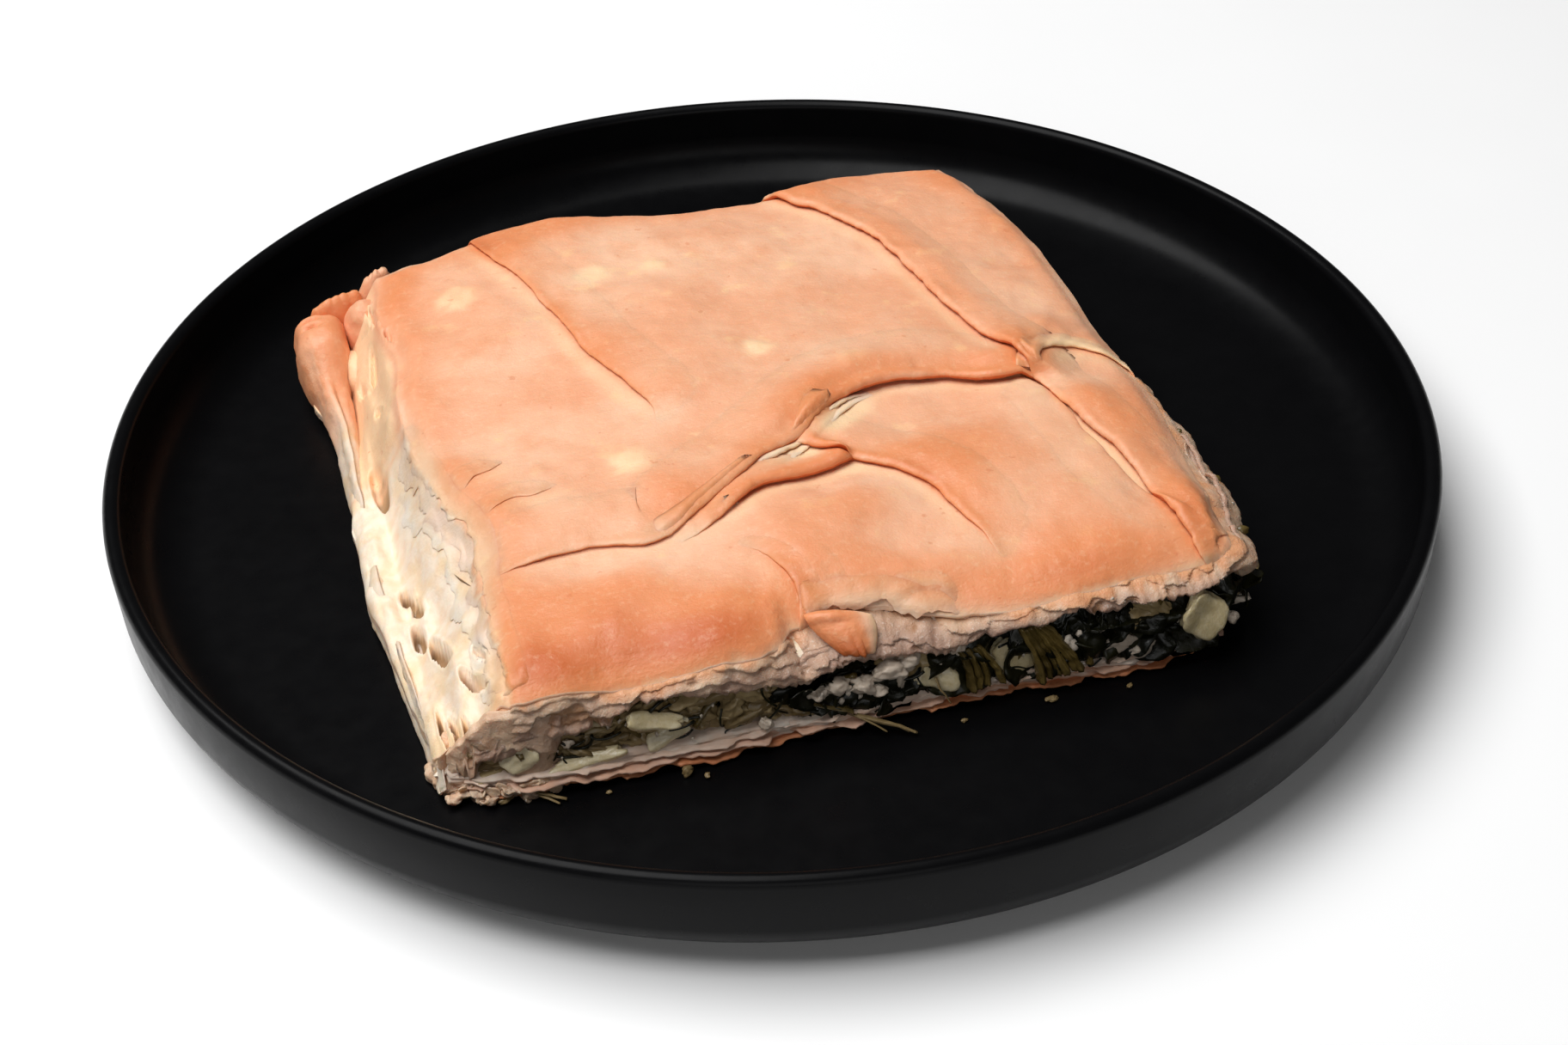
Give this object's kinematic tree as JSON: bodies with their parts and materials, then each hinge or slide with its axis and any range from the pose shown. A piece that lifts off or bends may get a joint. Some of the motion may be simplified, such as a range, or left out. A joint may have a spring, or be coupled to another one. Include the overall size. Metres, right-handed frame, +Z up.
{
  "type": "slice of spanakopita on a plate",
  "caption": "Square edge slice of spinach and cheese filo pie with folded top sheets, cut sides and a baked rim, on a low black coupe plate.",
  "frame": {"origin": "centre of the plate's foot, on the surface it stands on", "axes": "+Z up, -Y out of the slice's cut front face, -X out of the slice's baked edge"},
  "size_m": [0.225, 0.225, 0.0314],
  "materials": {
    "plate_glaze": "satin black glaze",
    "lower_crust": "pale baked dough, brown underneath",
    "filling": "wet cooked spinach, onion and white cheese",
    "upper_crust": "oiled golden filo, satin"
  },
  "bodies": {
    "root": {"plate": "plate_glaze", "lower_crust": "lower_crust", "filling": "filling", "upper_crust": "upper_crust"}
  },
  "joints": []
}
